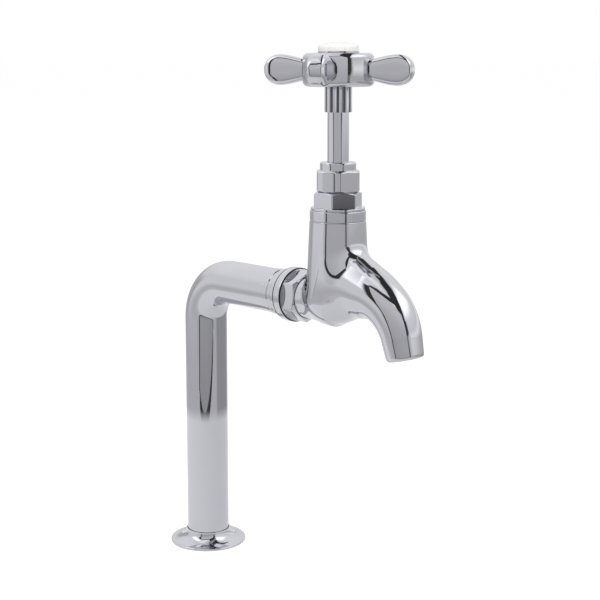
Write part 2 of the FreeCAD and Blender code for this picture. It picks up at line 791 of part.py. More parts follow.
pieces = {
    "foot_flange": make_foot_flange(),
    "foot_seal": make_foot_seal(),
    "flange_grip_ring": make_flange_grip_ring(),
    "foot_bush": make_foot_bush(),
    "stand_pipe": make_stand_pipe(),
    "pipe_collar": make_pipe_collar(),
    "union_tail": make_union_tail(),
    "union_washer": make_union_washer(),
    "union_nut": make_union_nut(),
    "tap_body": make_tap_body(),
    "valve_seat": make_valve_seat(),
    "tap_washer": make_tap_washer(),
    "jumper": make_jumper(),
    "washer_nut": make_washer_nut(),
    "bonnet_washer": make_bonnet_washer(),
    "bonnet": make_bonnet(),
    "gland_washer": make_gland_washer(),
    "gland_packing": make_gland_packing(),
    "gland_nut": make_gland_nut(),
    "spindle": make_spindle(),
    "handle_sleeve": make_handle_sleeve(),
    "handle_hub": make_handle_hub(),
    "handle_bush": make_handle_bush(),
    "handle_screw": make_handle_screw(),
    "index_ring": make_index_ring(),
    "index_button": make_index_button(),
}
for number in range(arm_count):
    pieces["handle_arm_%d" % (number + 1)] = make_handle_arm(number)

os.makedirs("parts", exist_ok=True)
for name, shape in pieces.items():
    shape.exportStep("parts/%s.step" % name)
    box = shape.BoundBox
    good = "valid" if shape.isValid() else "NOT VALID"
    print("%-18s %d solid %10.1f mm3  x %.2f %.2f  z %.2f %.2f  %s" % (
        name, len(shape.Solids), shape.Volume, box.XMin, box.XMax, box.ZMin, box.ZMax, good))
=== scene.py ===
import json
import math
import bpy
import numpy as np
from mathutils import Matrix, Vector


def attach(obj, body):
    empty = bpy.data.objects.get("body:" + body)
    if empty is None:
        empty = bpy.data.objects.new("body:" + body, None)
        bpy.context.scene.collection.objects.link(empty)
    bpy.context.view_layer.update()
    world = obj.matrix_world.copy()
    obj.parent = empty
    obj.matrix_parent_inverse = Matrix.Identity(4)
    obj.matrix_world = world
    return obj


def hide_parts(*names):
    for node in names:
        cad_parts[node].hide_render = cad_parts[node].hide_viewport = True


# A bib tap on a bent stand pipe. Shapes are worked out in millimetres and made in metres.
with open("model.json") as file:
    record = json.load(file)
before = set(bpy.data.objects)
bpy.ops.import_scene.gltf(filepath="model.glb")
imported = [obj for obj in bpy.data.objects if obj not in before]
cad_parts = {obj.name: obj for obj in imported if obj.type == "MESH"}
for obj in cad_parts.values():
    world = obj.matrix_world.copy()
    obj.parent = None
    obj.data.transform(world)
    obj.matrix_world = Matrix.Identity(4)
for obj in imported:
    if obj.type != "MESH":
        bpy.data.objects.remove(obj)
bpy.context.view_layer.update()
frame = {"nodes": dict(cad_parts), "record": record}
record = frame["record"]
mm = 0.001
print("frame loaded:", len(frame["nodes"]), "nodes")


# Shapes

def softCorners(corners, closed=False, steps=7):
    # corners are (radius, along, rounding); a rounding becomes an arc that touches both straight sides
    corners = [c if len(c) > 2 else (c[0], c[1], 0) for c in corners]
    pieces = []
    for i, (radius, along, rounding) in enumerate(corners):
        here = np.array([radius, along], float)
        atEnd = not closed and i in (0, len(corners) - 1)
        if rounding <= 0 or atEnd:
            pieces.append(here[None])
            continue
        toBefore = np.array(corners[i - 1][:2], float) - here
        toAfter = np.array(corners[(i + 1) % len(corners)][:2], float) - here
        toBefore /= np.linalg.norm(toBefore)
        toAfter /= np.linalg.norm(toAfter)
        half = math.acos(np.clip(toBefore @ toAfter, -1, 1)) / 2
        middleWay = (toBefore + toAfter) / np.linalg.norm(toBefore + toAfter)
        centre = here + middleWay * rounding / math.sin(half)
        first = here + toBefore * rounding / math.tan(half) - centre
        last = here + toAfter * rounding / math.tan(half) - centre
        turn = math.pi - 2 * half
        share = np.linspace(0, 1, steps)[:, None]
        swing = np.sin((1 - share) * turn) * first + np.sin(share * turn) * last
        pieces.append(centre + swing / math.sin(turn))
    return np.concatenate(pieces)


def denser(profile, longest, closed=False, beyond=0.0):
    # adds points so that no side of the profile further out than a radius is longer than the given length
    ring = np.concatenate([profile, profile[:1]]) if closed else profile
    sides = np.linalg.norm(np.diff(ring, axis=0), axis=1)
    places = np.concatenate([[0], np.cumsum(sides)])
    shown = (ring[:-1, 0] + ring[1:, 0]) / 2 >= beyond
    counts = np.where(shown, np.maximum(np.ceil(sides / longest), 1), 1).astype(int)
    cuts = [np.linspace(places[i], places[i + 1], count, endpoint=False) for i, count in enumerate(counts)]
    at = np.concatenate(cuts) if closed else np.concatenate(cuts + [places[-1:]])
    return np.stack([np.interp(at, places, ring[:, k]) for k in (0, 1)], 1)


def gridFaces(grid, closed, poles):
    # rows run along the profile and steps run round it; a pole is a row that is one point
    rows, steps = grid.shape[:2]
    index = np.arange(rows * steps).reshape(rows, steps)
    if poles[0]:
        index[0] = index[0, 0]
    if poles[1]:
        index[-1] = index[-1, 0]
    near = index if closed else index[:-1]
    far = np.roll(index, -1, 0) if closed else index[1:]
    quads = np.stack([near, np.roll(near, -1, 1), np.roll(far, -1, 1), far], -1)
    start = quads[:1].reshape(-1, 4)[:, [0, 2, 3]] if poles[0] else np.zeros((0, 3), int)
    end = quads[-1:].reshape(-1, 4)[:, [0, 1, 2]] if poles[1] else np.zeros((0, 3), int)
    body = quads[int(poles[0]):len(quads) - int(poles[1])].reshape(-1, 4)
    return body, np.concatenate([start, end])


def gridNormals(grid, closed, poles):
    # the cross product of the central differences along and round the grid
    if closed:
        along = np.roll(grid, -1, 0) - np.roll(grid, 1, 0)
    else:
        along = np.concatenate([grid[1:2] - grid[:1], grid[2:] - grid[:-2], grid[-1:] - grid[-2:-1]])
    across = np.roll(grid, -1, 1) - np.roll(grid, 1, 1)
    normals = np.cross(across, along)
    size = np.linalg.norm(normals, axis=2, keepdims=True)
    normals = normals / np.maximum(size, 1e-12)
    if poles[0]:
        normals[0] = normals[1].mean(0)
    if poles[1]:
        normals[-1] = normals[-2].mean(0)
    return normals


def inScene(name, data):
    thing = bpy.data.objects.new(name, data)
    bpy.context.scene.collection.objects.link(thing)
    return thing


def makePiece(name, points, quads, triangles, normals):
    # points in mm; faces and normals are turned round together if the closed shape came out inside out
    corners = np.concatenate([quads[:, [0, 1, 2]], quads[:, [0, 2, 3]], triangles])
    a, b, c = (points[corners[:, k]] for k in range(3))
    if np.einsum("ij,ij->i", a, np.cross(b, c)).sum() < 0:
        quads, triangles = quads[:, ::-1], triangles[:, ::-1]
    faceWay = np.cross(b - a, c - a)
    agree = np.einsum("ij,ij->i", faceWay, normals[corners[:, 0]]).sum()
    volume = np.einsum("ij,ij->i", a, np.cross(b, c)).sum()
    if agree * volume < 0:
        normals = -normals
    used, fresh = np.unique(np.concatenate([quads.ravel(), triangles.ravel()]), return_inverse=True)
    quads, triangles = fresh[:quads.size].reshape(-1, 4), fresh[quads.size:].reshape(-1, 3)
    mesh = bpy.data.meshes.new(name)
    mesh.from_pydata((points[used] * mm).tolist(), [], quads.tolist() + triangles.tolist())
    mesh.polygons.foreach_set("use_smooth", np.ones(len(mesh.polygons), bool))
    mesh.normals_split_custom_set_from_vertices(normals[used].tolist())
    mesh.update()
    return inScene(name, mesh)


def gridPiece(name, grid, closed=False, poles=(False, False)):
    quads, triangles = gridFaces(grid, closed, poles)
    normals = gridNormals(grid, closed, poles)
    return makePiece(name, grid.reshape(-1, 3), quads, triangles, normals.reshape(-1, 3))


def upright(x, y, turn=0.0):
    # a place on the deck and three directions: two across the axis and the axis itself
    a = math.radians(turn)
    ways = np.array([[math.cos(a), math.sin(a), 0], [-math.sin(a), math.cos(a), 0], [0, 0, 1.0]])
    return np.array([x, y, 0.0]), ways


def alongArm(height):
    return np.array([0, 0, height]), np.array([[0, 0, -1.0], [0, 1.0, 0], [1.0, 0, 0]])


def turnedGrid(profile, place, steps=192, shape=None):
    # point = base + r cos(t) across + r sin(t) second + s axis, where shape may change r by angle and place
    base, ways = place
    angle = np.linspace(0, 2 * math.pi, steps, endpoint=False)
    radius = np.repeat(profile[:, :1], steps, 1)
    along = np.repeat(profile[:, 1:], steps, 1)
    if shape is not None:
        radius = shape(radius, along, angle[None])
    across = radius[..., None] * (np.cos(angle)[:, None] * ways[0] + np.sin(angle)[:, None] * ways[1])
    return base + across + along[..., None] * ways[2]


def turnedPiece(name, corners, place, steps=192, closed=True, fine=None, shape=None, arc=7, beyond=0.0):
    profile = softCorners(corners, closed, arc)
    if fine:
        profile = denser(profile, fine, closed, beyond)
    grid = turnedGrid(profile, place, steps, shape)
    poles = (False, False) if closed else (profile[0, 0] < 1e-6, profile[-1, 0] < 1e-6)
    return gridPiece(name, grid, closed, poles)


def softMin(a, b, width):
    # the smaller of two values, with the change-over rounded across the given width
    mix = np.clip(0.5 + 0.5 * (b - a) / width, 0, 1)
    return b * (1 - mix) + a * mix - width * mix * (1 - mix)


def softMax(a, b, width):
    return -softMin(-a, -b, width)


def hexClip(flats, low, high, turn, edge):
    # between two places the turned blank is cut by six flats: r = softMin(r, flats / 2 cos(angle to the flat))
    def shape(radius, along, angle):
        local = np.mod(np.degrees(angle) - turn, 60) - 30
        flat = flats / 2 / np.cos(np.radians(local)) + 0 * radius
        inside = (along > low - 1e-6) & (along < high + 1e-6)
        return np.where(inside, softMin(radius, flat, edge), radius)
    return shape


def projected(points, field, rounds=6, step=0.01):
    # moves points down the field's gradient until the field is zero, and gives the gradient's direction there
    offsets = np.eye(3) * step
    for _ in range(rounds):
        slope = np.stack([field(points + o) - field(points - o) for o in offsets], 1) / (2 * step)
        size = np.maximum((slope**2).sum(1, keepdims=True), 1e-9)
        points = points - np.clip(field(points)[:, None], -2, 2) * slope / size
    slope = np.stack([field(points + o) - field(points - o) for o in offsets], 1)
    return points, slope / np.linalg.norm(slope, axis=1, keepdims=True)


def castPiece(name, grids, field, voxel):
    # closed grids are melted into one even skin, whose points are then moved on to the zero of a smooth field
    points, quads, triangles, start = [], [], [], 0
    for grid, poles in grids:
        body, ends = gridFaces(grid, False, poles)
        points.append(grid.reshape(-1, 3))
        quads.append(body + start)
        triangles.append(ends + start)
        start += grid.shape[0] * grid.shape[1]
    rough = makePiece(name + "Rough", np.concatenate(points), np.concatenate(quads), np.concatenate(triangles),
                      np.ones((start, 3)))
    melt = rough.modifiers.new("melt", "REMESH")
    melt.mode = "VOXEL"
    melt.voxel_size = voxel * mm
    view = rough.evaluated_get(bpy.context.evaluated_depsgraph_get())
    skin = bpy.data.meshes.new_from_object(view)
    places = np.empty(len(skin.vertices) * 3, np.float32)
    skin.vertices.foreach_get("co", places)
    corners = np.empty(len(skin.loops), np.int32)
    skin.loops.foreach_get("vertex_index", corners)
    places, normals = projected(places.reshape(-1, 3).astype(float) / mm, field)
    bpy.data.objects.remove(rough)
    return places, corners.reshape(-1, 4), normals


# Materials

class Wire:
    # a socket that can be used in sums
    def __init__(self, finish, socket):
        self.finish, self.socket = finish, socket

    def calc(self, operation, *values):
        return self.finish.add("ShaderNodeMath", {"operation": operation}, *values)

    def __add__(self, other):
        return self.calc("ADD", self, other)

    def __sub__(self, other):
        return self.calc("SUBTRACT", self, other)

    def __rsub__(self, other):
        return self.calc("SUBTRACT", other, self)

    def __mul__(self, other):
        return self.calc("MULTIPLY", self, other)

    def __truediv__(self, other):
        return self.calc("DIVIDE", self, other)

    def __pow__(self, other):
        return self.calc("POWER", self, other)

    def __abs__(self):
        return self.calc("ABSOLUTE", self)

    def clamp(self, low=0.0, high=1.0):
        return self.calc("MINIMUM", self.calc("MAXIMUM", self, low), high)

    __radd__ = __add__
    __rmul__ = __mul__


class Finish:
    # a node tree that is built by expressions
    def __init__(self, tree):
        self.tree = tree
        tree.nodes.clear()

    def add(self, kind, settings=None, *values, output=0, **named):
        node = self.tree.nodes.new(kind)
        for key, value in (settings or {}).items():
            if key == "stops":
                ramp = node.color_ramp.elements
                ramp[0].color, ramp[1].color = (*value[0][1], 1), (*value[-1][1], 1)
                for place, colour in value[1:-1]:
                    ramp.new(place).color = (*colour, 1)
            else:
                setattr(node, key, value)
        for place, value in list(enumerate(values)) + list(named.items()):
            key = place.replace("_", " ") if isinstance(place, str) else place
            self.give(node.inputs[key], value)
        return Wire(self, node.outputs[output]) if len(node.outputs) else None

    def give(self, socket, value):
        if isinstance(value, Wire):
            self.tree.links.new(value.socket, socket)
        elif value is not None:
            socket.default_value = value

    def mixed(self, factor, first, second):
        # two plain colours mixed by a factor: sockets 0, 6 and 7 of a colour Mix node
        mix = self.add("ShaderNodeMix", {"data_type": "RGBA"}, factor, output=2)
        mix.socket.node.inputs[6].default_value = (*first, 1)
        mix.socket.node.inputs[7].default_value = (*second, 1)
        return mix

    def surface(self, **sockets):
        shader = self.add("ShaderNodeBsdfPrincipled", None, **sockets)
        self.add("ShaderNodeOutputMaterial", None, shader)


def newFinish(name):
    material = bpy.data.materials.new(name)
    material.use_nodes = True
    return material, Finish(material.node_tree)


def give(piece, material):
    piece.data.materials.clear()
    piece.data.materials.append(material)


chromeLook = {
    "clear": (0.53, 0.531, 0.572), "hazy": (0.50, 0.501, 0.542),
    # the two dark colours on the next line are painted shade, for the flute bottoms and for the shoulders of the
    # nut's ring
    "fluteShade": (0.10, 0.10, 0.11), "paintedShade": (0.02, 0.02, 0.023),
    "roughness": 0.035, "hazeRough": 0.035, "hairRough": 0.05, "dullRough": 0.3, "paintedShadeRough": 0.25,
    "patches": 45.0, "hazeFrom": 0.45, "hazeRise": 2.2,
    "hairs": (2600.0, 2600.0, 90.0), "hairFrom": 0.66, "hairRise": 6.0,
    "hairHeight": 0.012, "lineHeight": 0.01, "bump": 0.000012,
}


def chromeFinish(name, ripple, grain, lines=None, roughShadedFlutes=None, shoulderShade=None):
    # bright chrome: grey metal, a faint ripple under the plating, hazy wiped patches and hair scratches
    material, finish = newFinish(name)
    place = finish.add("ShaderNodeTexCoord", output=3)
    broad = finish.add("ShaderNodeTexNoise", None, Vector=place, Scale=grain, Detail=2.0)
    patches = finish.add("ShaderNodeTexNoise", None, Vector=place, Scale=chromeLook["patches"], Detail=5.0,
                         Roughness=0.6)
    stretched = finish.add("ShaderNodeMapping", None, place, Scale=chromeLook["hairs"])
    hairs = finish.add("ShaderNodeTexNoise", None, Vector=stretched, Scale=1.0, Detail=1.0)
    scratch = ((hairs - chromeLook["hairFrom"]) * chromeLook["hairRise"]).clamp()
    haze = ((patches - chromeLook["hazeFrom"]) * chromeLook["hazeRise"]).clamp()
    rough = haze * chromeLook["hazeRough"] + scratch * chromeLook["hairRough"] + chromeLook["roughness"]
    height = broad * ripple + hairs * chromeLook["hairHeight"]
    if lines:
        # turning marks: sin(2 pi place / pitch) along an axis
        pitch, axis = lines
        angle = finish.add("ShaderNodeSeparateXYZ", None, place, output=axis) * (2 * math.pi / pitch)
        height = height + angle.calc("SINE", angle) * chromeLook["lineHeight"]
    bump = finish.add("ShaderNodeBump", None, Strength=1.0, Distance=chromeLook["bump"], Height=height)
    tone = finish.mixed(haze, chromeLook["clear"], chromeLook["hazy"])
    if roughShadedFlutes:
        # the bottoms of the flutes, nearer the axis than a given radius, are rougher than the ridges and darkened
        # with painted shade
        axisX, radius, depth = roughShadedFlutes
        x = finish.add("ShaderNodeSeparateXYZ", None, place, output=0)
        y = finish.add("ShaderNodeSeparateXYZ", None, place, output=1)
        away = ((x - axisX) * (x - axisX) + y * y) ** 0.5
        deep = ((radius - away) / depth).clamp()
        rough = rough + deep * chromeLook["dullRough"]
        tone = finish.mixed(deep, chromeLook["clear"], chromeLook["fluteShade"])
    if shoulderShade:
        # painted shade: dark bands round the arm on the rounded shoulders of the nut's ring, (place, half width,
        # softness) along it
        x = finish.add("ShaderNodeSeparateXYZ", None, place, output=0)
        paintedShade = sum(((half - abs(x - at)) / soft).clamp() for at, half, soft in shoulderShade)
        rough = rough + paintedShade * chromeLook["paintedShadeRough"]
        tone = finish.mixed(paintedShade, chromeLook["clear"], chromeLook["paintedShade"])
    finish.surface(Base_Color=tone, Metallic=1.0, Roughness=rough, Normal=bump)
    return material


plainLook = {"mottleFrom": 0.35, "mottleRise": 3.0, "finer": 9, "fineRough": 0.5, "mottleRough": 0.3,
             "evenRough": 0.85}


def plainFinish(name, dark, light, roughness, speckle, bumpDepth, metal=0.0):
    # a solid material with a mottled colour, an uneven gloss and a fine grain
    material, finish = newFinish(name)
    place = finish.add("ShaderNodeTexCoord", output=3)
    mottle = finish.add("ShaderNodeTexNoise", None, Vector=place, Scale=speckle, Detail=4.0)
    fine = finish.add("ShaderNodeTexNoise", None, Vector=place, Scale=speckle * plainLook["finer"], Detail=2.0)
    share = ((mottle - plainLook["mottleFrom"]) * plainLook["mottleRise"]).clamp()
    tone = finish.mixed(share, dark, light)
    bump = finish.add("ShaderNodeBump", None, Strength=1.0, Distance=bumpDepth, Height=fine)
    uneven = (fine - 0.5) * roughness * plainLook["fineRough"] + mottle * roughness * plainLook["mottleRough"]
    rough = uneven + roughness * plainLook["evenRough"]
    finish.surface(Base_Color=tone, Metallic=metal, Roughness=rough, Normal=bump)
    return material


turningPitch = 0.00022  # metres from one turning mark to the next
castChrome = chromeFinish("castChrome", ripple=0.16, grain=60.0)
tubeChrome = chromeFinish("tubeChrome", ripple=0.3, grain=50.0)
turnedChrome = chromeFinish("turnedChrome", ripple=0.2, grain=160.0, lines=(turningPitch, 2))
unionChrome = chromeFinish("unionChrome", ripple=0.25, grain=160.0, lines=(turningPitch, 0))
handleChrome = chromeFinish("handleChrome", ripple=0.15, grain=110.0)
porcelain = plainFinish("porcelain", (0.80, 0.79, 0.76), (0.83, 0.82, 0.79), 0.1, 12.0, 0.0000002)
blackRubber = plainFinish("blackRubber", (0.018, 0.018, 0.019), (0.035, 0.034, 0.034), 0.62, 400.0, 0.00004)
plainBrass = plainFinish("plainBrass", (0.55, 0.38, 0.16), (0.68, 0.50, 0.25), 0.32, 300.0, 0.00001, metal=1.0)
redFibre = plainFinish("redFibre", (0.20, 0.055, 0.035), (0.30, 0.10, 0.06), 0.75, 900.0, 0.00005)
cadFinish = {"chrome": turnedChrome, "brass": plainBrass, "rubber": blackRubber, "fibre": redFibre,
             "ceramic": porcelain}
for part in record["subparts"]:
    give(frame["nodes"][part["node"]], cadFinish[part["material_slot"]])
print("finishes made")


def fit(piece, body, node, material):
    give(piece, material)
    if node:
        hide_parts(node)
    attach(piece, body)


# Foot and stand pipe
pipe = {"outer": 11.0, "inner": 10.0, "low": 1.0, "armHeight": 143.3, "bend": 21.0, "armEnd": 57.0, "steps": 224}
flange = {"bore": 11.1, "rim": 20.0, "edge": 1.3, "height": 7.0, "land": 1.3, "lip": 0.4,
          "seal": (12.5, 15.3, 1.1), "steps": 256}


def footFlange():
    # cove: r = land - a sin(t), z = height - b cos(t), a quarter oval from the rim up to the lip
    landR = flange["rim"] - flange["land"]
    lipR = flange["bore"] + flange["lip"]
    t = np.linspace(0, math.pi / 2, 40)
    rise = flange["height"] - (flange["height"] - flange["edge"]) * np.cos(t)
    cove = np.stack([landR - (landR - lipR) * np.sin(t), rise], 1)
    inner, outer, deep = flange["seal"]
    under = softCorners([(flange["bore"], 0.0, 0.1), (inner, 0.0, 0.1), (inner, deep, 0.1), (outer, deep, 0.1),
                         (outer, 0.0, 0.1), (flange["rim"], 0.0, 0.15), (flange["rim"], flange["edge"], 0.5),
                         (landR, flange["edge"])], False, 5)
    top = np.array([[lipR - 0.1, flange["height"] + 0.02], [flange["bore"], flange["height"]]])
    profile = np.concatenate([under[:-1], cove, top])
    return gridPiece("coverFlange", turnedGrid(profile, upright(0, 0), flange["steps"]), True)


def pipePath(s):
    # centreline by distance: up, a quarter turn c + R (-cos, sin), then along the arm
    rise = pipe["armHeight"] - pipe["bend"]
    arc = pipe["bend"] * math.pi / 2
    turn = np.clip((s - rise) / pipe["bend"], 0, math.pi / 2)
    x = pipe["bend"] * (1 - np.cos(turn)) + np.maximum(s - rise - arc, 0)
    z = np.minimum(s, rise) + pipe["bend"] * np.sin(turn)
    ahead = np.stack([np.sin(turn), 0 * s, np.cos(turn)], 1)
    return np.stack([x, 0 * s, z], 1), ahead


def standPipe():
    # ring at distance s: centre + r (cos(t) side + sin(t) out), where r steps from the outer to the inner wall
    rise = pipe["armHeight"] - pipe["bend"]
    arc = pipe["bend"] * math.pi / 2
    total = rise + arc + pipe["armEnd"] - pipe["bend"]
    straight = np.linspace(pipe["low"] + 0.3, rise, 16)
    bend = rise + arc * np.linspace(0, 1, 73)[1:]
    stations = np.concatenate([straight, bend, np.linspace(rise + arc, total - 0.1, 8)[1:]])
    s = np.concatenate([stations, [total], stations[::-1], [pipe["low"]]])
    r = np.concatenate([np.full(len(stations), pipe["outer"]), [pipe["outer"] - 0.15],
                        np.full(len(stations), pipe["inner"]), [pipe["inner"] + 0.3]])
    centre, ahead = pipePath(s)
    out = np.stack([-ahead[:, 2], 0 * s, ahead[:, 0]], 1)
    side = np.array([0.0, 1.0, 0.0])
    angle = np.linspace(0, 2 * math.pi, pipe["steps"], endpoint=False)[None, :, None]
    grid = centre[:, None] + r[:, None, None] * (np.cos(angle) * side + np.sin(angle) * out[:, None])
    return gridPiece("standTube", grid, True)


fit(footFlange(), "body", "foot_flange", turnedChrome)
fit(standPipe(), "body", "stand_pipe", tubeChrome)
print("foot and stand pipe made")

# Union, along the arm
armAxis = alongArm(pipe["armHeight"])
collar = {"bore": 8.35, "outer": 11.35, "start": 57.0, "end": 63.0, "groove": 0.3}
nut = {"start": 63.1, "leadEnd": 66.1, "ringEnd": 71.7, "end": 79.1, "lead": 12.4, "ring": 13.4, "flats": 22.2,
       "tailBore": 8.4, "tailDepth": 4.0, "bore": 10.53, "turn": -4.0, "edge": 0.35, "hidden": 10.6}
# painted shade on the rounded shoulders of the nut's ring: (place, half width, softness) along the arm
shoulderShade = [(66.9, 0.5, 0.16), (71.45, 0.4, 0.16)]
hexagon = {"steps": 540, "fine": 0.16, "inset": 0.4, "chamfer": 30}


def hexEnds(flats, turnedDown=0.0):
    # corner radius, radius where the chamfer starts, and the chamfer's depth
    corner = flats / math.sqrt(3) - turnedDown
    inner = flats / 2 - hexagon["inset"]
    return corner, inner, (corner - inner) * math.tan(math.radians(hexagon["chamfer"]))


def hexPiece(name, corners, place, look, low, high):
    shape = hexClip(look["flats"], low, high, look["turn"], look["edge"])
    return turnedPiece(name, corners, place, hexagon["steps"], fine=hexagon["fine"], beyond=look["hidden"],
                       shape=shape)


collarMiddle = (collar["start"] + collar["end"]) / 2
pipeCollar = turnedPiece("pipeCollar", [
    (collar["bore"], collar["start"]), (collar["outer"], collar["start"], 0.25),
    (collar["outer"], collarMiddle - 0.5, 0.1), (collar["outer"] - collar["groove"], collarMiddle, 0.1),
    (collar["outer"], collarMiddle + 0.5, 0.1), (collar["outer"], collar["end"], 0.25),
    (collar["bore"], collar["end"])], armAxis, pipe["steps"])
fit(pipeCollar, "body", "pipe_collar", unionChrome)

corner, inner, drop = hexEnds(nut["flats"])
unionNut = hexPiece("unionNut", [
    (nut["tailBore"], nut["start"]), (nut["lead"], nut["start"], 0.9), (nut["lead"], nut["leadEnd"], 0.15),
    (nut["ring"], nut["leadEnd"], 1.0), (nut["ring"], nut["ringEnd"], 1.0), (corner, nut["ringEnd"], 0.1),
    (corner, nut["end"] - drop, 0.3), (inner, nut["end"], 0.25), (nut["bore"], nut["end"], 0.1),
    (nut["bore"], nut["start"] + nut["tailDepth"]), (nut["tailBore"], nut["start"] + nut["tailDepth"])],
    armAxis, nut, nut["ringEnd"] + 0.12, nut["end"] + 1)
# the nut's chrome has painted shade on the shoulders of its ring
nutChrome = chromeFinish("nutChrome", ripple=0.25, grain=160.0, lines=(turningPitch, 0),
                         shoulderShade=[[v * mm for v in shadeBand] for shadeBand in shoulderShade])
fit(unionNut, "body", "union_nut", nutChrome)
print("union made")

# Tap body: barrel, neck and spout
tapX = 98.1
tap = {"bottom": 132.9, "belt": 146.0, "beltR": 14.7, "barrelTop": 182.4, "topR": 13.35, "taper": 1.3, "top": 187.4,
       "collarR": 13.25, "groove": 0.35, "mouthOfTop": 10.5, "neckR": 10.4, "neckStart": 70.6,
       "cut": 182.0, "neckBlend": 5.0, "spoutBlend": 4.5, "boreEdge": 0.7, "neckEdge": 0.3,
       "voxel": 0.5, "steps": 96, "rows": 30}
spout = {"rise": 12.0, "slope": 12.0, "run": 22.7, "bend": 25.0, "mouthSlope": 76.0, "drop": 10.0,
         "mouth": 8.7, "bore": 6.3, "rootHigh": 16.6, "rootWide": 13.5, "rootStart": 3.0, "full": 9.0,
         "flareEnd": 10.0, "hollow": 28.0, "lip": 1.92, "steps": 72, "rows": 60}
slopeA, slopeB = math.radians(spout["slope"]), math.radians(spout["mouthSlope"])
spoutRoot = np.array([tapX, pipe["armHeight"] + spout["rise"]])
spoutBendStart = spoutRoot + spout["run"] * np.array([math.cos(slopeA), -math.sin(slopeA)])
spoutCentre = spoutBendStart - spout["bend"] * np.array([math.sin(slopeA), math.cos(slopeA)])
spoutBendEnd = spoutCentre + spout["bend"] * np.array([math.sin(slopeB), math.cos(slopeB)])
spoutBendLength = spout["bend"] * (slopeB - slopeA)
spoutLength = spout["run"] + spoutBendLength + spout["drop"]


def spoutLine(s):
    # centreline by distance: straight at the first slope, an arc, straight at the mouth's slope
    turn = slopeA + np.clip((s - spout["run"]) / spout["bend"], 0, slopeB - slopeA)
    ahead = np.stack([np.cos(turn), -np.sin(turn)], 1)
    before = np.minimum(s - spout["run"], 0)[:, None] * ahead
    after = np.maximum(s - spout["run"] - spoutBendLength, 0)[:, None] * ahead
    bend = spoutCentre + spout["bend"] * np.stack([np.sin(turn), np.cos(turn)], 1)
    return bend + before + after, ahead


def spoutSizes(s):
    # half width tapers evenly from root to mouth; half height adds a flare at the root, u^2 (3 - 2 u)
    near = 1 - np.clip((s - spout["full"]) / (spout["run"] + spout["flareEnd"] - spout["full"]), 0, 1)
    flare = near * near * (3 - 2 * near)
    wide = spout["rootWide"] + (spout["mouth"] - spout["rootWide"]) * np.clip(s / spoutLength, 0, 1)
    return wide, wide + (spout["rootHigh"] - spout["rootWide"]) * flare


def spoutPlace(x, z):
    # distance along the spout's centreline and height over it, for points in the XZ plane
    flat = np.stack([x, z], 1)
    fromCentre = flat - spoutCentre
    angle = np.arctan2(fromCentre[:, 0], fromCentre[:, 1])
    s = spout["run"] + (angle - slopeA) * spout["bend"]
    over = np.linalg.norm(fromCentre, axis=1) - spout["bend"]
    before = (angle < slopeA, spoutRoot, slopeA, 0)
    after = (angle > slopeB, spoutBendEnd, slopeB, spout["run"] + spoutBendLength)
    for inside, start, slope, run in (before, after):
        off = flat - start
        s = np.where(inside, run + off @ [math.cos(slope), -math.sin(slope)], s)
        over = np.where(inside, off @ [math.sin(slope), math.cos(slope)], over)
    return s, over


def ovalField(a, b, halfA, halfB):
    # close to the distance from an oval: (k - 1) / |slope of k|, with k^2 = (a / A)^2 + (b / B)^2
    k = np.maximum(np.hypot(a / halfA, b / halfB), 1e-6)
    slope = np.hypot(a / halfA**2, b / halfB**2) / k
    return (k - 1) / np.maximum(slope, 1e-6)


def barrelR(z):
    # radius over the belt: beltR - (beltR - topR) u^taper
    share = np.clip((z - tap["belt"]) / (tap["barrelTop"] - tap["belt"]), 0, 1.2)
    return tap["beltR"] - (tap["beltR"] - tap["topR"]) * share**tap["taper"]


def barrelField(p):
    r = np.hypot(p[:, 0] - tapX, p[:, 1])
    below = ovalField(r, np.minimum(p[:, 2] - tap["belt"], 0), tap["beltR"], tap["belt"] - tap["bottom"])
    return np.where(p[:, 2] < tap["belt"], below, r - barrelR(p[:, 2]))


def bodyField(p):
    # softMin(softMin(barrel, neck), spout), less the bore at the mouth
    neck = np.hypot(p[:, 1], p[:, 2] - pipe["armHeight"]) - tap["neckR"]
    neck = softMax(neck, np.maximum(p[:, 0] - tapX, tap["neckStart"] - p[:, 0]), tap["neckEdge"])
    s, over = spoutPlace(p[:, 0], p[:, 2])
    wide, high = spoutSizes(s)
    spoutSkin = softMax(ovalField(p[:, 1], over, wide, high), s - spoutLength, spout["lip"])
    spoutSkin = np.maximum(spoutSkin, spout["rootStart"] - s)
    whole = softMin(softMin(barrelField(p), neck, tap["neckBlend"]), spoutSkin, tap["spoutBlend"])
    hollow = np.maximum(np.hypot(p[:, 1], over) - spout["bore"], spoutLength - spout["hollow"] - s)
    whole = softMax(whole, -hollow, tap["boreEdge"])
    return np.maximum(whole, p[:, 2] - tap["top"])


def ovalTube(s, wide, high):
    # ring at distance s: centre + high cos(t) over + wide sin(t) across
    centre, ahead = spoutLine(s)
    angle = np.linspace(0, 2 * math.pi, spout["steps"], endpoint=False)
    over = np.stack([-ahead[:, 1], ahead[:, 0]], 1)
    flat = centre[:, None] + (high[:, None] * np.cos(angle))[..., None] * over[:, None]
    return np.stack([flat[..., 0], wide[:, None] * np.sin(angle), flat[..., 1]], 2)


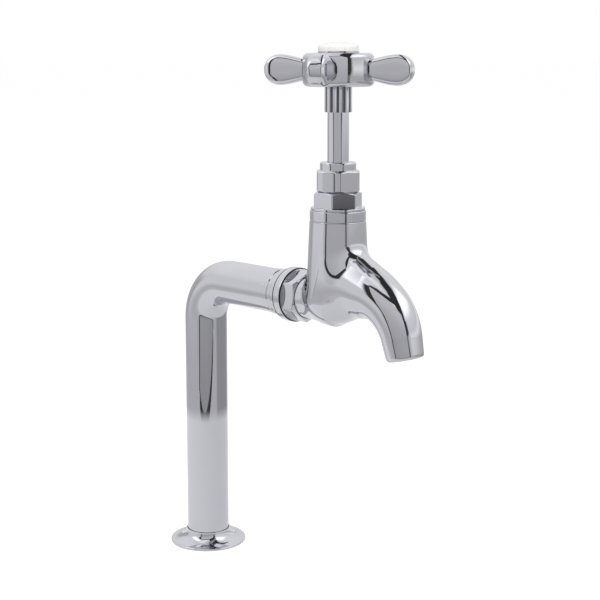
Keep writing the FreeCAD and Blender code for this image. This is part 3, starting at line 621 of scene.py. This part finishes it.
def tapBody():
    # three closed shapes: barrel with its belly, neck, and spout with the first part of its bore
    stations = np.linspace(spout["rootStart"], spoutLength, spout["rows"])
    wide, high = spoutSizes(stations)
    bore = np.linspace(spoutLength, spoutLength - spout["hollow"], tap["rows"])
    s = np.concatenate([stations[:1], stations, bore, bore[-1:]])
    boreR = np.full(len(bore), spout["bore"])
    wide = np.concatenate([[0.0], wide, boreR, [0.0]])
    high = np.concatenate([[0.0], high, boreR, [0.0]])
    t = np.linspace(0, math.pi / 2, 20)
    belly = np.stack([tap["beltR"] * np.sin(t), tap["belt"] - (tap["belt"] - tap["bottom"]) * np.cos(t)], 1)
    z = np.linspace(tap["belt"], tap["top"], tap["rows"])[1:]
    barrel = np.concatenate([belly, np.stack([barrelR(z), z], 1), [[0.0, tap["top"]]]])
    neck = np.array([[0, tap["neckStart"]], [tap["neckR"], tap["neckStart"]], [tap["neckR"], tapX], [0, tapX]])
    grids = [(turnedGrid(barrel, upright(tapX, 0), tap["steps"]), (True, True)),
             (turnedGrid(denser(neck, 2.0), armAxis, tap["steps"]), (True, True)),
             (ovalTube(s, wide, high), (True, True))]
    points, quads, normals = castPiece("tapCasting", grids, bodyField, tap["voxel"])
    return openTop(points, quads, normals)


def openTop(points, quads, normals):
    # what is over the cut is left out, its rim is pulled down to the cut, and a flat lid closes it
    r = np.hypot(points[:, 0] - tapX, points[:, 1])
    over = points[:, 2] > tap["cut"]
    keep = ~over[quads].all(1)
    rim = np.unique(quads[keep])
    rim = rim[over[rim]]
    scale = barrelR(tap["cut"]) / r[rim]
    points[rim, 0] = tapX + (points[rim, 0] - tapX) * scale
    points[rim, 1] *= scale
    points[rim, 2] = tap["cut"]
    quads = quads[keep]
    sides = np.concatenate([quads[:, [0, 1]], quads[:, [1, 2]], quads[:, [2, 3]], quads[:, [3, 0]]])
    sides = sides[over[sides].all(1)]
    middle = np.array([[tapX, 0, tap["cut"]]])
    cap = np.stack([sides[:, 1], sides[:, 0], np.full(len(sides), len(points))], 1)
    return makePiece("tapCasting", np.concatenate([points, middle]), quads, cap,
                     np.concatenate([normals, [[0, 0, 1.0]]]))


fit(tapBody(), "body", "tap_body", castChrome)
print("tap body made")

collarPlace = upright(tapX, 0)
bodyCollar = turnedPiece("bodyCollar", [
    (tap["mouthOfTop"], tap["cut"]), (float(barrelR(tap["cut"])) - 0.02, tap["cut"]),
    (tap["topR"] - tap["groove"], tap["barrelTop"], 0.1), (tap["collarR"], tap["barrelTop"] + 0.35, 0.15),
    (tap["collarR"], tap["top"], 0.45), (tap["mouthOfTop"], tap["top"])], collarPlace, 256)
fit(bodyCollar, "body", None, turnedChrome)

# Bonnet, gland nut, spindle
bonnet = {"low": 175.0, "threadR": 10.35, "flangeLow": 187.4, "flangeHigh": 188.7, "flangeR": 12.8,
          "flats": 20.35, "top": 196.1, "turn": 0.0, "upperR": 7.85, "upperTop": 203.0, "bore": 6.1,
          "edge": 0.3, "hidden": 10.4}
gland = {"low": 203.7, "top": 206.1, "flats": 20.0, "turn": 17.0, "collarR": 8.5, "collarTop": 209.9,
         "bore": 7.95, "stem": 5.12, "edge": 0.7, "turnedDown": 0.6, "hidden": 8.2}
stem = {"r": 5.05, "low": 178.0, "top": 246.8}
corner, inner, drop = hexEnds(bonnet["flats"])
bonnetPiece = hexPiece("bonnetHex", [
    (bonnet["bore"], bonnet["low"]), (bonnet["threadR"], bonnet["low"]),
    (bonnet["threadR"], bonnet["flangeLow"]), (bonnet["flangeR"], bonnet["flangeLow"], 0.2),
    (bonnet["flangeR"], bonnet["flangeHigh"], 0.35), (corner, bonnet["flangeHigh"]),
    (corner, bonnet["top"] - drop, 0.3), (inner, bonnet["top"], 0.25), (bonnet["upperR"], bonnet["top"]),
    (bonnet["upperR"], bonnet["upperTop"]), (bonnet["bore"], bonnet["upperTop"])],
    collarPlace, bonnet, bonnet["flangeHigh"] + 0.02, bonnet["top"] + 1)
fit(bonnetPiece, "body", "bonnet", turnedChrome)

corner, inner, drop = hexEnds(gland["flats"], gland["turnedDown"])
glandPiece = hexPiece("glandNut", [
    (gland["bore"], bonnet["top"] + 0.02), (inner, bonnet["top"] + 0.02, 0.25),
    (corner, bonnet["top"] + drop, 0.3), (corner, gland["top"] - drop, 0.3), (inner, gland["top"], 0.25),
    (gland["collarR"], gland["top"], 0.2), (gland["collarR"], gland["collarTop"], 0.8),
    (gland["stem"], gland["collarTop"], 0.15), (gland["stem"], gland["low"]), (gland["bore"], gland["low"])],
    collarPlace, gland, 0, gland["top"] + 0.1)
fit(glandPiece, "body", "gland_nut", turnedChrome)

stemPiece = turnedPiece("spindleStem", [
    (0, stem["low"]), (stem["r"], stem["low"], 0.3), (stem["r"], stem["top"], 0.2), (0, stem["top"])],
    collarPlace, closed=False)
fit(stemPiece, "handle", "spindle", turnedChrome)
print("bonnet and gland made")

# Cross handle
handle = {"turn": -62.7, "low": 244.8, "high": 260.2, "reach": 14.5}
sleeve = {"r": 6.45, "low": 233.0, "bore": 5.1, "flutes": 12, "fluteR": 1.3, "fluteDepth": 0.6, "edge": 0.12,
          "steps": 576}
drum = {"r": 16.9, "bulge": 0.25, "edge": 2.6, "steps": 320, "rows": 15, "arc": 14}
arm = {"start": 10.5, "stubR": 3.0, "neck": 4.6, "swell": 14.1, "end": 7.4, "halfHigh": 7.1, "halfThick": 4.55,
       "square": 3.8, "flatFrom": 0.2, "count": 4, "steps": 160, "swellRows": 44, "endRows": 56}
handlePlace = upright(tapX, 0, handle["turn"])


def flutes(radius, along, angle):
    # the sleeve is cut back to where this angle meets a flute's circle, r = c cos(d) - sqrt(f^2 - c^2 sin(d)^2)
    step = 2 * math.pi / sleeve["flutes"]
    off = np.mod(angle, step) - step / 2
    c = sleeve["r"] + sleeve["fluteR"] - sleeve["fluteDepth"]
    inside = sleeve["fluteR"]**2 - (c * np.sin(off))**2
    floor = c * np.cos(off) - np.sqrt(np.maximum(inside, 0)) + np.where(inside < 0, 5.0, 0.0)
    return np.where(radius > sleeve["bore"] + 0.2, softMin(radius, floor, sleeve["edge"]), radius)


sleeveTop = handle["low"] + 0.5
sleevePiece = turnedPiece("flutedSleeve", [
    (sleeve["bore"], sleeve["low"]), (sleeve["r"], sleeve["low"], 0.35), (sleeve["r"], sleeveTop),
    (sleeve["bore"], sleeveTop)], handlePlace, sleeve["steps"], shape=flutes)
# the sleeve's flute bottoms get painted shade and more roughness
flutedChrome = chromeFinish("flutedChrome", ripple=0.15, grain=110.0,
                            roughShadedFlutes=(tapX * mm, (sleeve["r"] - 0.3) * mm, 0.2 * mm))
fit(sleevePiece, "handle", "handle_sleeve", flutedChrome)


# the drum's side bulges: r = drum - bulge v^2, with v from -1 at the bottom to 1 at the top
hubMiddle = (handle["high"] + handle["low"]) / 2
hubHalf = (handle["high"] - handle["low"]) / 2 - drum["edge"]
hubEnd = drum["r"] - drum["bulge"] - 0.25
hubPiece = turnedPiece("crossHub", [
    (0, handle["low"]), (hubEnd, handle["low"], drum["edge"]),
    *[(float(drum["r"] - drum["bulge"] * v * v), float(hubMiddle + hubHalf * v))
      for v in np.linspace(-1, 1, drum["rows"])],
    (hubEnd, handle["high"], drum["edge"]), (0, handle["high"])],
    collarPlace, drum["steps"], closed=False, arc=drum["arc"])
fit(hubPiece, "handle", "handle_hub", handleChrome)


def armPiece(index):
    # section at distance s: (T |cos|^(2/n), H |sin|^(2/n)), with n from 2 at the neck to a flat-sided oval
    wide = handle["reach"] + arm["swell"]
    tip = wide + arm["end"]
    u = np.linspace(0, 1, arm["swellRows"])
    swell = handle["reach"] + arm["swell"] * u
    t = np.linspace(0, math.pi / 2, arm["endRows"])[1:]
    end = wide + arm["end"] * np.sin(t)
    s = np.concatenate([swell, end])
    ease = u * u * (3 - 2 * u)
    fuller = ease * 0.6 + np.sin(u * math.pi / 2) * 0.4
    high = np.concatenate([arm["neck"] + (arm["halfHigh"] - arm["neck"]) * fuller, arm["halfHigh"] * np.cos(t)])
    share = np.clip((end - wide) / arm["end"], 0, 1)
    thickEnd = arm["halfThick"] * (1 - share**arm["square"])**(1 / arm["square"])
    thick = np.concatenate([arm["neck"] + (arm["halfThick"] - arm["neck"]) * ease, thickEnd])
    squarer = np.clip(u / arm["flatFrom"], 0, 1)
    power = np.concatenate([2 + (arm["square"] - 2) * squarer, np.full(len(t), arm["square"])])
    s = np.concatenate([[arm["start"], arm["start"], handle["reach"] - 0.05, handle["reach"] - 0.05], s])
    high = np.concatenate([[0.0, arm["stubR"], arm["stubR"], arm["neck"]], high])
    thick = np.concatenate([[0.0, arm["stubR"], arm["stubR"], arm["neck"]], thick])
    power = np.concatenate([[2.0] * 4, power])
    high[-1] = thick[-1] = 0.0
    angle = np.linspace(0, 2 * math.pi, arm["steps"], endpoint=False)[None]
    cos, sin = np.cos(angle), np.sin(angle)
    n = 2 / power[:, None]
    across = thick[:, None] * np.sign(cos) * np.abs(cos)**n
    rise = high[:, None] * np.sign(sin) * np.abs(sin)**n
    local = np.stack([np.repeat(s[:, None], arm["steps"], 1), across, rise], 2)
    ways = upright(0, 0, handle["turn"] + 360 / arm["count"] * index)[1]
    grid = np.array([tapX, 0, hubMiddle]) + local @ ways
    return gridPiece("paddleArm%d" % (index + 1), grid, False, (True, True))


for index in range(arm["count"]):
    fit(armPiece(index), "handle", "handle_arm_%d" % (index + 1), handleChrome)

button = {"ringR": 9.7, "ringLow": 260.2, "ringHigh": 260.9, "holderR": 8.0, "holderLow": 258.2, "bore": 6.1,
          "r": 9.5, "edge": 263.8, "dome": 1.4, "round": 1.7, "footR": 6.0, "footLow": 259.2, "steps": 224}
ringPiece = turnedPiece("buttonRing", [
    (button["bore"], button["holderLow"]), (button["holderR"], button["holderLow"]),
    (button["holderR"], button["ringLow"]), (button["ringR"], button["ringLow"], 0.25),
    (button["ringR"], button["ringHigh"], 0.25), (button["bore"], button["ringHigh"])], collarPlace)
fit(ringPiece, "handle", "index_ring", turnedChrome)


def whiteButton():
    # a cap of a ball, z = edge + dome - B + sqrt(B^2 - r^2), then a rounded shoulder and a straight side
    ball = (button["r"]**2 + button["dome"]**2) / (2 * button["dome"])
    r = np.linspace(0, button["r"] - button["round"], 40)
    dome = np.stack([r, button["edge"] + button["dome"] - ball + np.sqrt(ball**2 - r**2)], 1)
    side = softCorners([(r[-1], dome[-1, 1]), (button["r"], button["edge"] + 0.12, button["round"]),
                        (button["r"], button["ringHigh"], 0.2), (button["footR"], button["ringHigh"]),
                        (button["footR"], button["footLow"]), (0, button["footLow"])], False, 12)
    grid = turnedGrid(np.concatenate([dome, side[1:]]), collarPlace, button["steps"])
    return gridPiece("whiteButton", grid, False, (True, True))


fit(whiteButton(), "handle", "index_button", porcelain)
print("handle made")

# Studio: a white floor and sky, soft lamps, and cards that only the chrome sees
# lengths in metres, glow as a share of white
studio = {
    "floor": 60.0, "floorColour": (0.8, 0.8, 0.8), "floorGlow": 0.5, "under": -0.0001,
    "sheet": 0.285, "sheetFade": 0.032, "sheetGlow": 0.98, "sheetTilt": 0.07, "sheetWay": -150,
    "skyForDiffuse": 0.62, "skyTop": 2.0,
    "middle": (0.105, 0.0, 0.165), "cardDistance": 1.2, "cardStep": 0.012, "cardRows": 120, "cardColumns": 25,
    "postFade": 2.5,
}
# the sky's glow by the height of the direction, from straight down to straight up
skyByHeight = [(-1.0, 0.90), (-0.42, 0.80), (-0.28, 0.70), (-0.10, 0.66), (0.05, 0.80), (0.35, 1.02),
               (0.6, 1.15), (0.8, 1.15), (1.0, 0.9)]
# bands on balls round the tap, each one a little nearer than the one before it
ribbons = {
    "backDim": {"path": [(150, -2, 32), (215, -2, 32)], "glow": 0.60, "soft": 8},
    "leftWall": {"path": [(-168, 4, 40), (-97, 4, 40)], "glow": 1.0, "soft": 12},
    "rightDim": {"path": [(14, -17, 26), (112, -17, 26)], "glow": 0.44, "soft": 10},
    "rightSide": {"path": [(-1, 5, 16), (122, 5, 14)], "glow": 1.2, "soft": 7},
    "leftBox": {"path": [(-142, 41, 46), (-108, 41, 46)], "glow": 2.4, "soft": 9},
    "rightBox": {"path": [(-4, 47, 40), (48, 47, 40), (80, 44, 36)], "glow": 2.0, "soft": 13},
    "leftTop": {"path": [(-180, 70, 22), (-50, 70, 22)], "glow": 1.35, "soft": 8},
    "topFrame": {"path": [(-98, 38, 9), (-92, 46, 11), (-78, 51, 12), (-60, 53, 12), (-18, 52, 11)],
                 "glow": 0.05, "soft": 1.5},
    "topSlot": {"path": [(-11, 12, 9), (-12, 28, 13), (-15, 45, 24), (-13, 60, 28), (4, 73, 26), (60, 80, 20),
                         (112, 70, 15), (124, 53, 12), (126, 36, 10)],
                "glow": 0.045, "soft": 2.5},
}
# the two upright edges of the camera's opening, as (height, x, y), and the plates between and beside them
frameEdges = {
    "left": [(-0.03, 0.066, -0.357), (0.05, 0.100, -0.3435), (0.17, 0.100, -0.3435), (0.23, 0.062, -0.358),
             (0.5, 0.062, -0.358)],
    "right": [(-0.03, 0.600, -0.020), (0.06, 0.600, -0.150), (0.5, 0.600, -0.150)],
}
outward = {"left": (-0.933, -0.361), "right": (0.24, 0.97)}
walls = {
    "opening": {"edges": ("left", "right"), "low": -0.022, "high": 0.5, "bow": 0.016, "fade": 4,
                "glow": [(0.0, 0.46), (0.12, 0.62), (0.22, 0.70), (0.35, 0.85)]},
    "sill": {"edges": ("left", "right"), "low": -0.034, "high": -0.019, "bow": 0.016, "fade": 0,
             "glow": [(0.0, 0.05)]},
    "leftPost": {"edges": ("left",), "low": -0.006, "high": 0.5, "bow": 0.0, "fade": 0,
                 "outer": [(0.0, 0.040), (0.05, 0.045), (0.18, 0.045), (0.24, 0.10)],
                 "glow": [(0.0, 0.07), (0.2, 0.05)]},
    "rightPost": {"edges": ("right",), "low": -0.006, "high": 0.4, "bow": 0.0, "fade": 0,
                  "outer": [(0.0, 0.070), (0.05, 0.085), (0.18, 0.085), (0.24, 0.15)],
                  "glow": [(0.0, 0.07), (0.12, 0.10), (0.15, 0.27), (0.19, 0.27), (0.21, 0.06)]},
}
lamps = {
    "keyLamp": {"place": (0.35, -0.75, 0.75), "size": (0.6, 0.6), "power": 5.8},
    "fillLamp": {"place": (0.85, 0.35, 0.55), "size": (0.5, 0.7), "power": 3.0},
}
lampTarget = (0.05, 0, 0.12)
# the photograph is level with verticals upright, so a little of its framing is kept as shift
view = {"place": (0.5405, -0.443, 0.2595), "azimuth": 46.59, "down": 8.38, "lens": 80.48, "sensor": 36,
        "near": 0.01, "shift": (0.0, -0.08)}


def floorFinish():
    material, finish = newFinish("whiteFloor")
    cameraRay = finish.add("ShaderNodeLightPath", output=0)
    glossyRay = finish.add("ShaderNodeLightPath", output=3)
    clearRay = finish.add("ShaderNodeLightPath", output=6)
    seen = (cameraRay + glossyRay + clearRay).clamp()
    matte = finish.add("ShaderNodeBsdfDiffuse", None, Color=(*studio["floorColour"], 1))
    glow = finish.add("ShaderNodeEmission", None, Color=(1, 1, 1, 1), Strength=seen * studio["floorGlow"])
    both = finish.add("ShaderNodeAddShader", None, matte, glow)
    finish.add("ShaderNodeOutputMaterial", None, both)
    material.cycles.emission_sampling = "NONE"
    return material


def cardFinish():
    # glow and cover are stored on the card's points: how bright it is, and how solid towards its edge
    material, finish = newFinish("studioCard")
    glow = finish.add("ShaderNodeAttribute", {"attribute_name": "glow"}, output=2)
    cover = finish.add("ShaderNodeAttribute", {"attribute_name": "cover"}, output=2)
    clear = finish.add("ShaderNodeBsdfTransparent")
    light = finish.add("ShaderNodeEmission", None, Color=(1, 1, 1, 1), Strength=glow)
    finish.add("ShaderNodeOutputMaterial", None, finish.add("ShaderNodeMixShader", None, cover, clear, light))
    material.cycles.emission_sampling = "NONE"  # dull surfaces don't see the cards
    return material


def addFloor():
    # the wide floor is what the camera sees; the metal sees the round sheet in its place, and the sky beyond it
    corners = np.array([[-1, -1, 0], [1, -1, 0], [1, 1, 0], [-1, 1, 0]]) * studio["floor"] + [0, 0, studio["under"]]
    mesh = bpy.data.meshes.new("floor")
    mesh.from_pydata(corners.tolist(), [], [list(range(4))])
    floor = inScene("floor", mesh)
    give(floor, floorFinish())
    floor.visible_glossy = False


def addCard(name, grid, glow, cover, material):
    # grid in metres; glow and cover have one value for each point of it; only the metal sees the card
    rows, columns = grid.shape[:2]
    index = np.arange(rows * columns).reshape(rows, columns)
    quads = np.stack([index[:-1, :-1], index[:-1, 1:], index[1:, 1:], index[1:, :-1]], -1).reshape(-1, 4)
    mesh = bpy.data.meshes.new(name)
    mesh.from_pydata(grid.reshape(-1, 3).tolist(), [], quads.tolist())
    for title, values in (("glow", glow), ("cover", cover)):
        stored = mesh.attributes.new(title, "FLOAT", "POINT")
        stored.data.foreach_set("value", values.ravel().astype(np.float32))
    card = inScene(name, mesh)
    give(card, material)
    card.visible_camera = False
    card.visible_diffuse = False
    card.visible_shadow = False


def addRibbon(name, look, distance, material):
    # a band on a ball round the tap: its middle line runs through (azimuth, elevation, width) in degrees
    path = np.array(look["path"], float)
    run = np.concatenate([[0], np.cumsum(np.linalg.norm(np.diff(path[:, :2], axis=0), axis=1))])
    at = np.linspace(0, run[-1], studio["cardRows"])
    az, el = (np.radians(np.interp(at, run, path[:, k])) for k in (0, 1))
    width = np.interp(at, run, path[:, 2])[:, None] / 2
    ways = np.stack([np.cos(el) * np.cos(az), np.cos(el) * np.sin(az), np.sin(el)], 1)
    side = np.cross(ways, np.gradient(ways, axis=0))
    side /= np.linalg.norm(side, axis=1, keepdims=True)
    off = width * np.linspace(-1, 1, studio["cardColumns"])
    turn = np.radians(off)[..., None]
    grid = ways[:, None] * np.cos(turn) + side[:, None] * np.sin(turn)
    toEnd = np.minimum(at, run[-1] - at)[:, None] * np.cos(el)[:, None]
    inside = np.minimum(width - np.abs(off), toEnd)
    cover = np.clip(inside / look["soft"], 0, 1)
    glow = np.full(cover.shape, look["glow"])
    addCard(name, np.array(studio["middle"]) + grid * distance, glow, cover, material)


def addWall(name, look, material):
    # a plate from one edge to the other, or outward from one edge; the bow lifts its low corners by |2u - 1|^3
    z = np.linspace(look["low"], look["high"], studio["cardRows"])
    edges = [np.stack([np.interp(z, *np.array(frameEdges[edge]).T[[0, k]]) for k in (1, 2)], 1)
             for edge in look["edges"]]
    if len(edges) == 1:
        outer = np.interp(z, *np.array(look["outer"]).T)[:, None]
        edges.append(edges[0] + outer * outward[look["edges"][0]])
    across = np.linspace(0, 1, studio["cardColumns"])[:, None, None]
    plan = edges[0] + (edges[1] - edges[0]) * across
    share = (z - look["low"]) / (look["high"] - look["low"])
    lift = look["bow"] * np.abs(across[..., 0] * 2 - 1)**3 * np.clip(1 - share * look["fade"], 0, 1)
    grid = np.concatenate([plan, (z + lift)[..., None]], 2)
    glow = np.repeat(np.interp(z, *np.array(look["glow"]).T)[None], len(across), 0)
    cover = np.ones(glow.shape)
    if len(look["edges"]) == 1:
        cover = np.clip((1 - across[..., 0]) * studio["postFade"], 0, 1) * cover
    addCard(name, grid, glow, cover, material)


def addSheet(material):
    # a round patch of floor: glow is level + tilt cos(angle - brightest way), and its rim fades out
    angle = np.linspace(-math.pi, math.pi, 181)[None]
    fade = studio["sheetFade"] / studio["sheet"]
    rim = 1 - fade * (1 - np.linspace(0, 1, 9)[1:])
    share = np.concatenate([np.linspace(0, 1 - fade, 12), rim])[:, None]
    r = share * studio["sheet"]
    grid = np.stack([r * np.cos(angle), r * np.sin(angle), 0 * r * angle + studio["under"]], 2)
    glow = studio["sheetGlow"] + studio["sheetTilt"] * np.cos(angle - math.radians(studio["sheetWay"])) + 0 * r
    cover = np.clip((1 - share) / fade, 0, 1) + 0 * angle
    addCard("floorSheet", grid, glow, cover, material)


def addCards():
    material = cardFinish()
    addSheet(material)
    for index, (name, look) in enumerate(ribbons.items()):
        addRibbon(name, look, studio["cardDistance"] - studio["cardStep"] * index, material)
    for name, look in walls.items():
        addWall(name, look, material)


def addSky():
    # white to the camera; to the metal its brightness follows the height of the direction
    sky = bpy.data.worlds.new("whiteStudio")
    bpy.context.scene.world = sky
    sky.use_nodes = True
    finish = Finish(sky.node_tree)
    cameraRay = finish.add("ShaderNodeLightPath", output=0)
    glossyRay = finish.add("ShaderNodeLightPath", output=3)
    way = finish.add("ShaderNodeTexCoord", output=0)
    height = finish.add("ShaderNodeSeparateXYZ", None, way, output=2)
    stops = [((z + 1) / 2, (value / studio["skyTop"],) * 3) for z, value in skyByHeight]
    ramp = finish.add("ShaderNodeValToRGB", {"stops": stops}, height * 0.5 + 0.5)
    metal = ramp * studio["skyTop"]
    other = cameraRay + (1 - cameraRay) * studio["skyForDiffuse"]
    strength = glossyRay * metal + (1 - glossyRay) * other
    glow = finish.add("ShaderNodeBackground", None, Color=(1, 1, 1, 1), Strength=strength)
    finish.add("ShaderNodeOutputWorld", None, glow)


def addLamp(name, look):
    light = bpy.data.lights.new(name, "AREA")
    light.shape = "RECTANGLE"
    light.size, light.size_y = look["size"]
    light.energy = look["power"]
    lamp = inScene(name, light)
    lamp.visible_glossy = False
    lamp.visible_camera = False
    lamp.location = look["place"]
    lamp.rotation_euler = (Vector(lampTarget) - Vector(look["place"])).to_track_quat("-Z", "Y").to_euler()


def addCamera():
    data = bpy.data.cameras.new("camera")
    data.sensor_width = view["sensor"]
    data.lens = view["lens"]
    data.shift_x, data.shift_y = view["shift"]
    data.clip_start = view["near"]
    camera = inScene("camera", data)
    camera.location = view["place"]
    camera.rotation_euler = (math.radians(90 - view["down"]), 0, math.radians(view["azimuth"]))
    bpy.context.scene.camera = camera


addFloor()
addCards()
addSky()
for name, look in lamps.items():
    addLamp(name, look)
addCamera()
bpy.context.scene.view_settings.view_transform = "Standard"
print("studio made")
